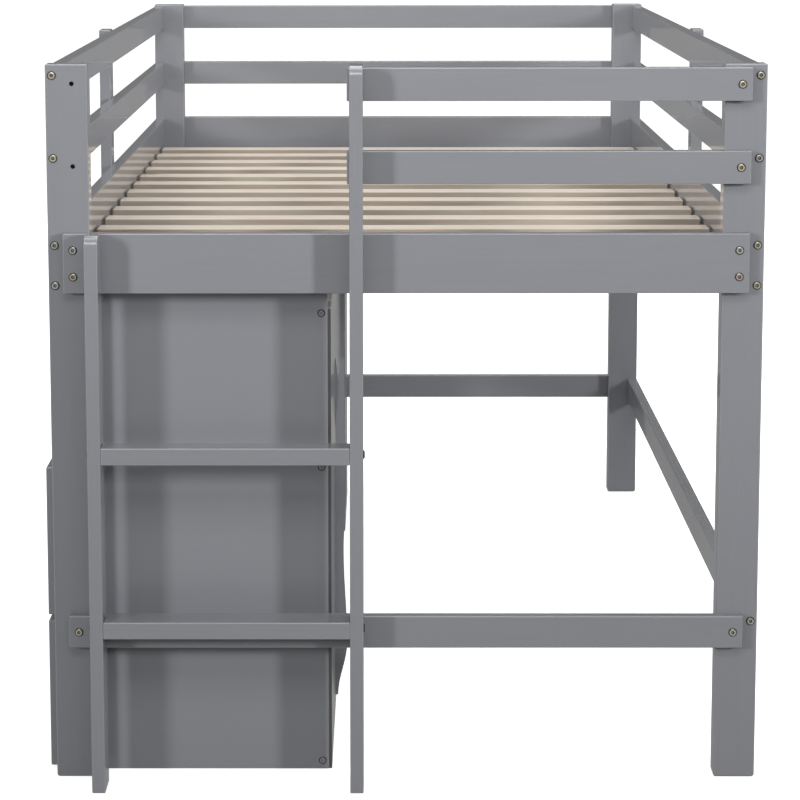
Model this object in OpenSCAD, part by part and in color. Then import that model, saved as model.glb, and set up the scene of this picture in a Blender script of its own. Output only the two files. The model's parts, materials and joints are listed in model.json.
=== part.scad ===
// Low loft bed with an end ladder, an under-bed chest of drawers and a roll-out desk.
// Millimetres, +Z up. The ladder end faces -Y and the open long side faces -X.
// Every piece is drawn in bed coordinates, where x = 0 is the outer face of the left posts,
// y = 0 is the front face of the ladder-end posts and z = 0 is the floor. place() then moves
// it so that the origin is the bottom centre of the whole part.

/* [Bed frame] */
// outer width over the posts
bed_width = 1060; // [960:10:1400]
// length over the posts, without the end rails
bed_length = 2001; // [1900:1:2100]
// height of the posts
post_height = 1084; // [900:1:1400]
// post size across the bed
post_width = 62; // [45:1:90]
// post size along the bed
post_depth = 38; // [30:1:60]
// thickness of every rail
rail_t = 20; // [16:1:30]
// height of the end bed rails
end_rail_h = 89; // [70:1:140]
// height of the side bed rails
side_rail_h = 99; // [80:1:140]
// height of the guard rails and the stretchers
guard_h = 49; // [35:1:70]
// clear gap between guard rails
guard_gap = 73; // [50:1:88]
// top edge of the upper guard rails
guard_top = 1080; // [900:1:1400]
// underside of the stretchers
stretcher_z = 208; // [100:1:400]
// distance from a post's outer face to the end of an end rail
rail_inset = 24; // [0:1:40]
// chamfer at the post's foot and head
post_chamfer = 3; // [0:0.5:6]

/* [Slats] */
// number of slats
slat_count = 14; // [8:1:20]
// slat width along the bed
slat_width = 54; // [40:1:90]
// slat thickness
slat_t = 18; // [12:1:24]
// top face of the slats
slat_top = 780; // [600:1:900]
// middle of the first slat
slat_first = 100; // [80:1:140]
// distance from slat to slat
slat_pitch = 135.3; // [90:0.1:150]

/* [Ladder] */
// stringer thickness
stringer_t = 20; // [16:1:30]
// stringer depth in front of the end rails
stringer_d = 57; // [40:1:80]
// outer face of the left stringer
ladder_x = 61; // [40:1:90]
// clear width between the stringers
ladder_clear = 366; // [300:1:450]
// tread depth
tread_d = 40; // [30:1:80]
// tread thickness
tread_t = 25.5; // [18:0.5:35]
// top faces of the treads
tread_tops = [262.5, 525.5];

/* [Chest] */
// chest size along the bed
chest_w = 364; // [300:1:450]
// chest size across the bed, without the drawer fronts and the back
chest_d = 410; // [300:1:450]
// chest height at its top board
chest_h = 716; // [500:1:725]
// height of the end panels at the side rail, which they stand under
chest_end_h = 733; // [725:1:735]
// height of the end panels beside the rail and its ledger, behind the end rail
chest_end_top = 757; // [735:1:760]
// board thickness of the chest and the desk
board_t = 15; // [12:0.5:20]
// thickness of the chest back
back_t = 5; // [3:0.5:8]
// drawer front height
front_h = 229; // [150:1:240]
// drawer front thickness
front_t = 16; // [12:1:20]
// undersides of the drawer fronts, lower and upper
front_bottoms = [5, 243];
// drawer box height
box_h = 150; // [80:1:200]
// drawer wall thickness
box_wall = 12; // [9:1:15]
// knob diameter
knob_d = 30; // [20:1:40]
// knob reach
knob_reach = 18; // [12:1:30]

/* [Bookcase] */
// undersides of the bookcase boards
case_board_z = [6, 236, 473, 701];

/* [Desk] */
// desk length along the bed, over the end panels
desk_w = 1176; // [900:1:1400]
// thickness of the desk end panels
desk_end_t = 16; // [12:1:20]
// height of the desk surface
desk_h = 715; // [600:1:730]
// thickness of the desktop
desktop_t = 18; // [15:1:25]
// heights at which the curved edge of an end panel turns, between its foot and its top
desk_turn_z = [95, 250, 360, 400, 440, 530, 610];
// half width of an end panel at its foot, at those heights and at its top
desk_half = [199, 214, 208.5, 213, 213, 195, 200.5, 193, 190];
// greatest half width of the far end panel
desk_far_half = 195; // [190:0.5:214]
// clearance of the end panels over the floor
desk_foot_z = 6; // [3:1:15]
// caster wheel diameter
wheel_d = 44; // [30:1:60]
// caster wheel width
wheel_w = 18; // [12:1:24]

/* [Hidden] */

paint = [0.53, 0.54, 0.55];
pine = [0.86, 0.78, 0.66];
zinc = [0.74, 0.69, 0.52];
steel = [0.7, 0.71, 0.73];
dark = [0.2, 0.2, 0.21];

$fn = 48;
eps = 0.01;

// rail levels
guard_z = [guard_top - 2 * guard_h - guard_gap, guard_top - guard_h];
rail_top = guard_top - 2 * (guard_h + guard_gap);
side_y = [post_depth, bed_length - post_depth];
side_len = side_y[1] - side_y[0];
end_rail_len = bed_width - 2 * rail_inset;
slat_len = bed_width - 2 * rail_t - 6;
ledger_h = 25;
ledger_end_gap = 3;

// fasteners
bolt_d = 6;
bolt_hole = 6.4;
head_d = 13;
head_h = 2.5;
socket_d = 4.6;
nut_d = 10;
nut_hole = 10.4;
nut_len = 14;
sleeve_d = 8;
sleeve_hole = 8.4;
sleeve_len = 14;
// bolts through the end rails and the posts, measured from the post's outer face
bolt_x = 39;
bolt_spread = 19.75;
// bolts through the posts into the ends of the side rails
corner_lift = 12;
corner_reach = 44;
nut_offset = 32;
spare_hole = 7;

// ladder
stringer_y = -rail_t - stringer_d;
stringer_x = [ladder_x, ladder_x + stringer_t + ladder_clear];
stringer_tops = [rail_top + 3, post_height + 2];
stringer_round = 16;
guard_front_x = stringer_x[1] - 4;
tread_bolt_y = stringer_y + tread_d / 2;

// chest
chest_x = 3;
chest_y = post_depth + 1.5;
chest_in_y = [chest_y + board_t, chest_y + chest_w - board_t];
chest_clear = chest_w - 2 * board_t;
chest_shelf_z = 465.5;
chest_bottom_z = 6;
front_x = chest_x - 1 - front_t;
front_gap = 1.5;
slide_t = 6;
slide_gap = 0.5;
slide_h = 35;
slide_len = 350;
slide_x = 6;
box_y = chest_in_y[0] + 2 * slide_t + slide_gap;
box_w = chest_clear - 4 * slide_t - 2 * slide_gap;
box_len = 380;
box_lift = 30;
box_floor_t = 6;
chest_screw_x = [28, 403.5];
case_shift = bed_length - 2 * chest_y - chest_w;
screw_d = 4;
screw_hole = 4.2;
screw_head_d = 8;
unit_screw_head_d = 11;

// desk
desk_y = chest_y + chest_w + 3.5;
desk_mid_x = 222.5;
desk_far_y = desk_y + desk_w - desk_end_t;
desk_in_y = desk_y + desk_end_t;
desk_clear = desk_w - 2 * desk_end_t;
desktop_lip = 4;
desktop_end = 1.5;
desk_back_x = desk_mid_x + 172;
desk_back_z = 380;
desk_shelf_x = 52;
desk_shelf_z = 60;
desk_shelf_t = 16;
wheel_x = [130, 318];
wheel_y = [desk_in_y + 48, desk_far_y - 48];
axle_d = 6;
axle_fit = 0.05;
fork_gap = 1;
fork_t = 2;
plate_t = 3;
plate_w = 34;
plate_len = 52;

// overall box: the lower knob on the left, the guard support on the right, the ladder in
// front and the bolt heads behind
box_min_x = front_x - knob_reach;
box_max_x = bed_width + rail_t;
box_min_y = stringer_y;
box_max_y = bed_length + rail_t + head_h;
mid_x = (box_min_x + box_max_x) / 2;
mid_y = (box_min_y + box_max_y) / 2;

module place() {
  translate([-mid_x, -mid_y, 0]) children();
}

module block(at, size) {
  translate(at) cube(size);
}

module rod_x(at, d, len) {
  translate(at) rotate([0, 90, 0]) cylinder(d = d, h = len);
}

module rod_y(at, d, len) {
  translate(at) rotate([-90, 0, 0]) cylinder(d = d, h = len);
}

module rod_z(at, d, len) {
  translate(at) cylinder(d = d, h = len);
}

// domed bolt: its head is on +z with the seat at z = 0 and its shank runs down
module bolt(len) {
  difference() {
    rotate_extrude() bolt_outline(len);
    translate([0, 0, head_h - 1.6]) cylinder(d = socket_d, h = 2, $fn = 6);
  }
}

module bolt_outline(len) {
  polygon([
    [0, -len],
    [bolt_d / 2, -len],
    [bolt_d / 2, 0],
    [head_d / 2, 0],
    [head_d / 2, head_h * 0.45],
    [head_d / 2 - 0.7, head_h * 0.8],
    [head_d / 2 - 1.8, head_h],
    [0, head_h]
  ]);
}

module bolt_to_plus_y(at, len) {
  translate(at) rotate([90, 0, 0]) bolt(len);
}

module bolt_to_minus_y(at, len) {
  translate(at) rotate([-90, 0, 0]) bolt(len);
}

module bolt_to_plus_x(at, len) {
  translate(at) rotate([0, -90, 0]) bolt(len);
}

module bolt_to_minus_x(at, len) {
  translate(at) rotate([0, 90, 0]) bolt(len);
}

// countersunk wood screw: flush head on +z and a cross cut for the driver
module wood_screw(len, head = screw_head_d) {
  difference() {
    rotate_extrude() polygon([
      [0, -len],
      [screw_d / 4, -len + 3],
      [screw_d / 2, -len + 8],
      [screw_d / 2, -2.2],
      [head / 2, 0],
      [0, 0]
    ]);
    for (turn = [0, 90])
      rotate(turn) translate([-2.2, -0.4, -1]) cube([4.4, 0.8, 2]);
  }
}

// the hole that a wood screw sits in
module screw_seat(len, head = screw_head_d) {
  translate([0, 0, -len - 1]) cylinder(d = screw_hole, h = len + 1);
  translate([0, 0, -2.3]) cylinder(d1 = screw_hole, d2 = head + 0.4, h = 2.3 + eps);
}

// heights of the end-rail bolts, of those of the guard rails and of the corner bolts
rail_mid = rail_top - end_rail_h / 2;
rail_bolt_z = [rail_mid - bolt_spread, rail_mid + bolt_spread];
guard_mid = [guard_z[0] + guard_h / 2, guard_z[1] + guard_h / 2];
stretcher_mid = stretcher_z + guard_h / 2;
bed_corner_z = [rail_top - 80, rail_top - 20];
guard_corner_z = [guard_mid[0] + corner_lift, guard_mid[1] + corner_lift];
stretcher_corner_z = stretcher_mid + corner_lift;
end_bolt_z = concat(rail_bolt_z, guard_mid, [stretcher_mid]);
left_corner_z = concat(bed_corner_z, guard_corner_z);
right_corner_z = concat(left_corner_z, [stretcher_corner_z]);

function corner_zs(right) = right ? right_corner_z : left_corner_z;

module post(right, back) {
  x0 = right ? bed_width - post_width : 0;
  y0 = back ? bed_length - post_depth : 0;
  inner_y = back ? y0 : y0 + post_depth;
  bx = right ? bed_width - bolt_x : bolt_x;
  cx = right ? bed_width - rail_t / 2 : rail_t / 2;
  difference() {
    translate([x0, y0 + post_depth, 0])
      rotate([90, 0, 0])
        linear_extrude(post_depth) post_outline();
    for (z = end_bolt_z) {
      rod_y([bx, y0 - 1, z], end_hole_d(right, back, z), post_depth + 2);
      if (has_end_bolt(right, back, z))
        rod_y([bx, back ? inner_y - 1 : inner_y - sleeve_len - 2, z], sleeve_hole,
              sleeve_len + 3);
    }
    for (z = corner_zs(right))
      rod_y([cx, y0 - 1, z], bolt_hole, post_depth + 2);
  }
}

// the guard rails stop at the ladder, so the left front post keeps two spare holes
function has_end_bolt(right, back, z) = right || back || z < guard_z[0];
function end_hole_d(right, back, z) = has_end_bolt(right, back, z) ? bolt_hole : spare_hole;

module post_outline() {
  c = post_chamfer;
  polygon([
    [c, 0],
    [post_width - c, 0],
    [post_width, c],
    [post_width, post_height - c / 2],
    [post_width - c / 2, post_height],
    [c / 2, post_height],
    [0, post_height - c / 2],
    [0, c]
  ]);
}

// a rail on the outside of the end posts, from x0 to the right inset
module end_rail(back, x0, z0, height, bolt_zs) {
  y0 = back ? bed_length : -rail_t;
  difference() {
    block([x0, y0, z0], [bed_width - rail_inset - x0, rail_t, height]);
    for (z = bolt_zs)
      for (x = [bolt_x, bed_width - bolt_x])
        if (x > x0) rod_y([x, y0 - 1, z], bolt_hole, rail_t + 2);
    if (!back) for (x = stringer_x)
      if (x > x0 - 5)
        for (z = bolt_zs)
          rod_y([x + stringer_t / 2, y0 - 1, z], bolt_hole, rail_t + 2);
  }
}

// a rail between the posts of one long side
module side_rail(right, z0, height, bolt_zs) {
  x0 = right ? bed_width - rail_t : 0;
  inner_x = right ? x0 - 1 : rail_t - nut_len - 1;
  difference() {
    block([x0, side_y[0], z0], [rail_t, side_len, height]);
    for (z = bolt_zs) {
      rod_y([x0 + rail_t / 2, side_y[0] - 1, z], bolt_hole, corner_reach + 1);
      rod_y([x0 + rail_t / 2, side_y[1] - corner_reach, z], bolt_hole, corner_reach + 1);
      for (y = [side_y[0] + nut_offset, side_y[1] - nut_offset])
        rod_x([inner_x, y, z], nut_hole, nut_len + 2);
    }
    if (height == guard_h && z0 > rail_top || height == side_rail_h)
      support_seats(right, z0 + height / 2);
  }
}

support_x_screw = 14;
support_y = bed_length / 2;
support_z = rail_top - end_rail_h;

// the screws enter from the outside through the guard support
module support_screw_at(right, z, side) {
  x = right ? bed_width + rail_t : -rail_t;
  turn = right ? 90 : -90;
  translate([x, support_y + side * support_x_screw, z])
    rotate([0, turn, 0]) children();
}

module support_seats(right, z) {
  for (side = [-1, 1])
    support_screw_at(right, z, side) screw_seat(34);
}

support_screw_z = [rail_top - side_rail_h / 2, guard_mid[0], guard_mid[1]];

module post_front_left() {
  color(paint) place() post(false, false);
}

module post_front_right() {
  color(paint) place() post(true, false);
}

module post_back_left() {
  color(paint) place() post(false, true);
}

module post_back_right() {
  color(paint) place() post(true, true);
}

module bed_rail_front() {
  color(paint) place()
    end_rail(false, rail_inset, rail_top - end_rail_h, end_rail_h, rail_bolt_z);
}

module bed_rail_back() {
  color(paint) place()
    end_rail(true, rail_inset, rail_top - end_rail_h, end_rail_h, rail_bolt_z);
}

module bed_rail_left() {
  color(paint) place() side_rail(false, rail_top - side_rail_h, side_rail_h, bed_corner_z);
}

module bed_rail_right() {
  color(paint) place() side_rail(true, rail_top - side_rail_h, side_rail_h, bed_corner_z);
}

module guard_front_upper() {
  color(paint) place() end_rail(false, guard_front_x, guard_z[1], guard_h, [guard_mid[1]]);
}

module guard_front_lower() {
  color(paint) place() end_rail(false, guard_front_x, guard_z[0], guard_h, [guard_mid[0]]);
}

module guard_back_upper() {
  color(paint) place() end_rail(true, rail_inset, guard_z[1], guard_h, [guard_mid[1]]);
}

module guard_back_lower() {
  color(paint) place() end_rail(true, rail_inset, guard_z[0], guard_h, [guard_mid[0]]);
}

module guard_left_upper() {
  color(paint) place() side_rail(false, guard_z[1], guard_h, [guard_corner_z[1]]);
}

module guard_left_lower() {
  color(paint) place() side_rail(false, guard_z[0], guard_h, [guard_corner_z[0]]);
}

module guard_right_upper() {
  color(paint) place() side_rail(true, guard_z[1], guard_h, [guard_corner_z[1]]);
}

module guard_right_lower() {
  color(paint) place() side_rail(true, guard_z[0], guard_h, [guard_corner_z[0]]);
}

module guard_supports() {
  color(paint) place()
    for (right = [false, true])
      difference() {
        block([right ? bed_width : -rail_t, support_y - guard_h / 2, support_z],
              [rail_t, guard_h, post_height - 2 - support_z]);
        for (z = support_screw_z)
          support_seats(right, z);
      }
}

module stretcher_front() {
  color(paint) place() end_rail(false, rail_inset, stretcher_z, guard_h, [stretcher_mid]);
}

module stretcher_back() {
  color(paint) place() end_rail(true, rail_inset, stretcher_z, guard_h, [stretcher_mid]);
}

module stretcher_right() {
  color(paint) place() side_rail(true, stretcher_z, guard_h, [stretcher_corner_z]);
}

// slats
slat_ys = [for (i = [0 : slat_count - 1]) slat_first + i * slat_pitch];
slat_x = (bed_width - slat_len) / 2;
slat_screw_x = [rail_t + 10, bed_width - rail_t - 10];
slat_screw_len = 34;

module slat_ledgers() {
  color(paint) place()
    for (x = [rail_t, bed_width - 2 * rail_t])
      difference() {
        block([x, side_y[0] + ledger_end_gap, slat_top - slat_t - ledger_h],
              [rail_t, side_len - 2 * ledger_end_gap, ledger_h]);
        for (y = slat_ys)
          rod_z([x + rail_t / 2, y, slat_top - slat_screw_len - 1], screw_hole,
                slat_screw_len);
      }
}

module slats() {
  color(pine) place()
    for (y = slat_ys)
      difference() {
        block([slat_x, y - slat_width / 2, slat_top - slat_t], [slat_len, slat_width, slat_t]);
        for (x = slat_screw_x)
          translate([x, y, slat_top]) screw_seat(slat_screw_len);
      }
}

module wood_screws() {
  color(zinc) place() {
    for (y = slat_ys)
      for (x = slat_screw_x)
        translate([x, y, slat_top]) wood_screw(slat_screw_len);
    for (right = [false, true])
      for (z = support_screw_z)
        for (side = [-1, 1])
          support_screw_at(right, z, side) wood_screw(34);
  }
}

module rail_bolts() {
  len = rail_t + post_depth - 6;
  color(zinc) place()
    for (back = [false, true])
      for (right = [false, true])
        for (z = end_bolt_z)
          if (has_end_bolt(right, back, z)) {
            x = right ? bed_width - bolt_x : bolt_x;
            if (back) bolt_to_minus_y([x, bed_length + rail_t, z], len);
            else bolt_to_plus_y([x, -rail_t, z], len);
          }
}

module corner_bolts() {
  len = post_depth + corner_reach - 4;
  color(zinc) place()
    for (right = [false, true])
      for (z = corner_zs(right)) {
        x = right ? bed_width - rail_t / 2 : rail_t / 2;
        bolt_to_plus_y([x, 0, z], len);
        bolt_to_minus_y([x, bed_length, z], len);
      }
}

// cross nuts in the side rails, with the corner bolts through them and a screwdriver slot
module barrel_nuts() {
  for (right = [false, true])
    for (z = corner_zs(right))
      for (y = [side_y[0] + nut_offset, side_y[1] - nut_offset])
        barrel_nut([right ? bed_width - rail_t + 1 : rail_t - 1 - nut_len, y, z], right);
}

module barrel_nut(at, slot_left) {
  slot_x = slot_left ? at[0] - eps : at[0] + nut_len - 1.5;
  hole_x = slot_left ? at[0] + rail_t / 2 - 1 : at[0] - rail_t / 2 + 1 + nut_len;
  difference() {
    rod_x(at, nut_d, nut_len);
    block([slot_x, at[1] - nut_d / 2 - 1, at[2] - 0.7], [1.5 + eps, nut_d + 2, 1.4]);
    rod_y([hole_x, at[1] - nut_d, at[2]], bolt_d + 0.2, 2 * nut_d);
  }
}

// sleeve nuts on the inner faces of the posts, round the ends of the rail bolts
module sleeve_nuts() {
  for (back = [false, true])
    for (right = [false, true])
      for (z = end_bolt_z)
        if (has_end_bolt(right, back, z)) {
          x = right ? bed_width - bolt_x : bolt_x;
          y = back ? bed_length - post_depth : post_depth;
          translate([x, y, z]) rotate([back ? 90 : -90, 0, 0]) sleeve_nut();
        }
}

module frame_nuts() {
  color(zinc) place() {
    barrel_nuts();
    sleeve_nuts();
  }
}

module sleeve_nut() {
  difference() {
    union() {
      cylinder(d = head_d, h = 1.1);
      translate([0, 0, -sleeve_len]) cylinder(d = sleeve_d, h = sleeve_len + 0.5);
    }
    translate([0, 0, -sleeve_len - 1]) cylinder(d = bolt_d + 0.2, h = sleeve_len - 3);
    translate([0, 0, -1.5]) cylinder(d = socket_d, h = 3, $fn = 6);
  }
}

// ladder
ladder_bolt_z = [
  [rail_bolt_z[0], rail_bolt_z[1], stretcher_mid],
  [rail_bolt_z[0], rail_bolt_z[1], stretcher_mid, guard_mid[0], guard_mid[1]]
];
ladder_bolt_reach = 34;

module stringer(i) {
  x = stringer_x[i];
  difference() {
    translate([x, 0, 0])
      rotate([90, 0, 90])
        linear_extrude(stringer_t) stringer_outline(stringer_tops[i]);
    for (top = tread_tops)
      rod_x([x - 1, tread_bolt_y, top - tread_t / 2], bolt_hole, stringer_t + 2);
    for (z = ladder_bolt_z[i])
      rod_y([x + stringer_t / 2, -rail_t - ladder_bolt_reach, z], bolt_hole,
            ladder_bolt_reach + 1);
  }
}

// side view of a stringer, with y across the page and a rounded top at the front
module stringer_outline(top) {
  r = stringer_round;
  difference() {
    translate([stringer_y, 0]) square([stringer_d, top]);
    translate([stringer_y - 1, top - r]) square([r + 1, r + 1]);
  }
  translate([stringer_y + r, top - r]) circle(r);
}

module stringer_left() {
  color(paint) place() stringer(0);
}

module stringer_right() {
  color(paint) place() stringer(1);
}

module tread(top) {
  x0 = stringer_x[0] + stringer_t;
  difference() {
    block([x0, stringer_y, top - tread_t], [ladder_clear, tread_d, tread_t]);
    rod_x([x0 - 1, tread_bolt_y, top - tread_t / 2], bolt_hole, 41);
    rod_x([x0 + ladder_clear - 40, tread_bolt_y, top - tread_t / 2], bolt_hole, 41);
  }
}

module tread_upper() {
  color(paint) place() tread(tread_tops[1]);
}

module tread_lower() {
  color(paint) place() tread(tread_tops[0]);
}

module ladder_bolts() {
  color(zinc) place() {
    for (top = tread_tops) {
      bolt_to_plus_x([stringer_x[0], tread_bolt_y, top - tread_t / 2], stringer_t + 38);
      bolt_to_minus_x([stringer_x[1] + stringer_t, tread_bolt_y, top - tread_t / 2],
                      stringer_t + 38);
    }
    for (i = [0, 1])
      for (z = ladder_bolt_z[i])
        bolt_to_minus_y([stringer_x[i] + stringer_t / 2, 0, z], rail_t + 32);
  }
}

// chest
chest_board_z = [chest_bottom_z, chest_shelf_z, chest_h - board_t];

module chest_end(near, board_zs) {
  y0 = near ? chest_y : chest_y + chest_w - board_t;
  out = near ? -1 : 1;
  face_y = near ? chest_y : chest_y + chest_w;
  difference() {
    translate([chest_x, y0 + board_t, 0])
      rotate([90, 0, 0])
        linear_extrude(board_t) chest_end_outline();
    for (x = chest_screw_x)
      for (z = board_zs)
        translate([x, face_y, z + board_t / 2])
          rotate([-90 * out, 0, 0]) screw_seat(40, unit_screw_head_d);
  }
}

// an end panel from the front, with a step that clears the side rail and its ledger
module chest_end_outline() {
  step_x = 2 * rail_t + 3 - chest_x;
  polygon([
    [0, 0],
    [chest_d, 0],
    [chest_d, chest_end_top],
    [step_x, chest_end_top],
    [step_x, chest_end_h],
    [0, chest_end_h]
  ]);
}

module chest_end_near() {
  color(paint) place() chest_end(true, chest_board_z);
}

module chest_end_far() {
  color(paint) place() chest_end(false, chest_board_z);
}

// one board between the ends of the chest
module chest_board(z) {
  difference() {
    block([chest_x, chest_in_y[0], z], [chest_d, chest_clear, board_t]);
    for (x = chest_screw_x) {
      rod_y([x, chest_in_y[0] - 1, z + board_t / 2], screw_hole, 28);
      rod_y([x, chest_in_y[1] - 27, z + board_t / 2], screw_hole, 28);
    }
  }
}

module chest_top() {
  color(paint) place() chest_board(chest_board_z[2]);
}

module chest_shelf() {
  color(paint) place() chest_board(chest_board_z[1]);
}

module chest_bottom() {
  color(paint) place() chest_board(chest_board_z[0]);
}

// the backs of the chest and of the bookcase
module unit_backs() {
  color(paint) place()
    for (y = [chest_y, chest_y + case_shift])
      block([chest_x + chest_d, y + 0.5, 0.5], [back_t, chest_w - 1, chest_h - 1]);
}

slide_zs = [for (z = front_bottoms) z + box_lift + box_h / 2];

// channels fixed to the chest ends, two for each drawer
module chest_runners() {
  color(steel) place()
    for (z = slide_zs) {
      runner([slide_x, chest_in_y[0], z - slide_h / 2], 1);
      runner([slide_x, chest_in_y[1], z - slide_h / 2], -1);
    }
}

module runner(at, inward) {
  y0 = inward > 0 ? at[1] : at[1] - slide_t;
  groove_y = inward > 0 ? y0 + 1.5 : y0 - eps;
  difference() {
    block([at[0], y0, at[2]], [slide_len, slide_t, slide_h]);
    block([at[0] - 1, groove_y, at[2] + 4], [slide_len + 2, slide_t - 1.5 + eps, slide_h - 8]);
  }
}

module end_screws(board_zs) {
  for (x = chest_screw_x)
    for (z = board_zs) {
      translate([x, chest_y, z + board_t / 2])
        rotate([90, 0, 0]) wood_screw(38, unit_screw_head_d);
      translate([x, chest_y + chest_w, z + board_t / 2])
        rotate([-90, 0, 0]) wood_screw(38, unit_screw_head_d);
    }
}

module unit_screws() {
  color(zinc) place() {
    end_screws(chest_board_z);
    translate([0, case_shift, 0]) end_screws(case_board_z);
  }
}

// bookcase at the far end, as deep as the chest and open to the same side
module bookcase_ends() {
  color(paint) place() translate([0, case_shift, 0]) {
    chest_end(true, case_board_z);
    chest_end(false, case_board_z);
  }
}

module bookcase_shelves() {
  color(paint) place() translate([0, case_shift, 0])
    for (z = case_board_z) chest_board(z);
}

// drawers, i = 0 the lower and 1 the upper
module drawer_front(i) {
  z0 = front_bottoms[i];
  knob_y = chest_y + chest_w / 2;
  difference() {
    block([front_x, chest_y + front_gap, z0], [front_t, chest_w - 2 * front_gap, front_h]);
    rod_x([front_x - 1, knob_y, z0 + front_h / 2], screw_hole, front_t + 2);
  }
}

module drawer_box(i) {
  z0 = front_bottoms[i] + box_lift;
  x0 = front_x + front_t;
  difference() {
    block([x0, box_y, z0], [box_len, box_w, box_h]);
    block([x0 + box_wall, box_y + box_wall, z0 + box_floor_t],
          [box_len - 2 * box_wall, box_w - 2 * box_wall, box_h]);
  }
}

module drawer_slides(i) {
  z = slide_zs[i] - slide_h / 2 + 5;
  for (y = [box_y - slide_t, box_y + box_w])
    block([slide_x, y, z], [slide_len, slide_t, slide_h - 10]);
}

// turned knob on the drawer front, with its screw through the front
module drawer_knob(i) {
  knob_y = chest_y + chest_w / 2;
  r = knob_d / 2;
  translate([front_x, knob_y, front_bottoms[i] + front_h / 2])
    rotate([0, -90, 0]) {
      rotate_extrude() polygon([
        [0, 0],
        [r * 0.55, 0],
        [r * 0.5, knob_reach * 0.2],
        [r * 0.62, knob_reach * 0.42],
        [r * 0.96, knob_reach * 0.58],
        [r, knob_reach * 0.72],
        [r * 0.9, knob_reach * 0.9],
        [r * 0.6, knob_reach * 0.98],
        [0, knob_reach]
      ]);
      translate([0, 0, -front_t + 1]) cylinder(d = screw_d, h = front_t);
    }
}

module drawer_upper_front() {
  color(paint) place() drawer_front(1);
}

module drawer_upper_box() {
  color(pine) place() drawer_box(1);
}

module drawer_upper_slides() {
  color(steel) place() drawer_slides(1);
}

module drawer_upper_knob() {
  color(paint) place() drawer_knob(1);
}

module drawer_lower_front() {
  color(paint) place() drawer_front(0);
}

module drawer_lower_box() {
  color(pine) place() drawer_box(0);
}

module drawer_lower_slides() {
  color(steel) place() drawer_slides(0);
}

module drawer_lower_knob() {
  color(paint) place() drawer_knob(0);
}

// desk
desk_post_top = desk_h - desktop_t;
wave_steps = 8;

// half width of an end panel at each height: it eases from one turn of the edge to the next
function ease(a, b, t) = a + (b - a) * (1 - cos(180 * t)) / 2;
turn_z = concat([desk_foot_z], desk_turn_z, [desk_post_top]);
turns = len(turn_z) - 1;
wave = concat(
  [for (i = [0 : turns - 1]) for (step = [0 : wave_steps - 1])
    let (t = step / wave_steps)
      [ease(desk_half[i], desk_half[i + 1], t), turn_z[i] + (turn_z[i + 1] - turn_z[i]) * t]],
  [[desk_half[turns], turn_z[turns]]]
);

module desk_end_outline(widest) {
  polygon(concat(
    [for (p = wave) [min(p[0], widest), p[1]]],
    [for (i = [len(wave) - 1 : -1 : 0]) [-min(wave[i][0], widest), wave[i][1]]]
  ));
}

desk_screw_at = [
  [desk_back_x + 8, desk_back_z + 60],
  [desk_back_x + 8, desk_post_top - 60],
  [desk_shelf_x + 40, desk_shelf_z + desk_shelf_t / 2],
  [desk_back_x - 40, desk_shelf_z + desk_shelf_t / 2]
];

module desk_end(near) {
  y0 = near ? desk_y : desk_far_y;
  face_y = near ? desk_y : desk_far_y + desk_end_t;
  difference() {
    translate([desk_mid_x, y0 + desk_end_t, 0])
      rotate([90, 0, 0])
        linear_extrude(desk_end_t) desk_end_outline(near ? max(desk_half) : desk_far_half);
    for (at = desk_screw_at)
      translate([at[0], face_y, at[1]]) rotate([near ? 90 : -90, 0, 0]) screw_seat(40);
  }
}

module desk_end_near() {
  color(paint) place() desk_end(true);
}

module desk_end_far() {
  color(paint) place() desk_end(false);
}

module desk_top() {
  half = max(desk_half) + desktop_lip;
  color(paint) place()
    block([desk_mid_x - half, desk_y - desktop_end, desk_post_top],
          [2 * half, desk_w + 2 * desktop_end, desktop_t]);
}

module desk_screw_bores(first, last) {
  for (i = [first : last]) {
    at = desk_screw_at[i];
    rod_y([at[0], desk_in_y - 1, at[1]], screw_hole, 28);
    rod_y([at[0], desk_far_y - 27, at[1]], screw_hole, 28);
  }
}

module desk_back() {
  color(paint) place()
    difference() {
      block([desk_back_x, desk_in_y, desk_back_z],
            [desk_end_t, desk_clear, desk_post_top - desk_back_z]);
      desk_screw_bores(0, 1);
    }
}

module desk_shelf() {
  color(paint) place()
    difference() {
      block([desk_shelf_x, desk_in_y, desk_shelf_z],
            [desk_back_x + desk_end_t - desk_shelf_x, desk_clear, desk_shelf_t]);
      desk_screw_bores(2, 3);
    }
}

module desk_screws() {
  color(zinc) place()
    for (at = desk_screw_at) {
      translate([at[0], desk_y, at[1]]) rotate([90, 0, 0]) wood_screw(38);
      translate([at[0], desk_far_y + desk_end_t, at[1]]) rotate([-90, 0, 0]) wood_screw(38);
    }
}

// fixed casters: a plate under the shelf, two cheeks and the axle
module caster_bracket(x, y) {
  cheek_y = wheel_w / 2 + fork_gap;
  plate_z = desk_shelf_z - plate_t;
  translate([x, y, 0]) {
    block([-plate_len / 2, -plate_w / 2, plate_z], [plate_len, plate_w, plate_t]);
    for (side = [-1, 1])
      translate([0, side > 0 ? cheek_y + fork_t : -cheek_y, 0])
        rotate([90, 0, 0])
          linear_extrude(fork_t) cheek_outline(plate_z + 1);
    rod_y([0, -cheek_y - fork_t - 1, wheel_d / 2], axle_d, 2 * (cheek_y + fork_t + 1));
  }
}

module cheek_outline(top) {
  r = 9;
  polygon([
    [-17, top],
    [-r, wheel_d / 2],
    [r, wheel_d / 2],
    [17, top]
  ]);
  translate([0, wheel_d / 2]) circle(r);
}

module caster_brackets() {
  color(steel) place()
    for (x = wheel_x)
      for (y = wheel_y)
        caster_bracket(x, y);
}

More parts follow.
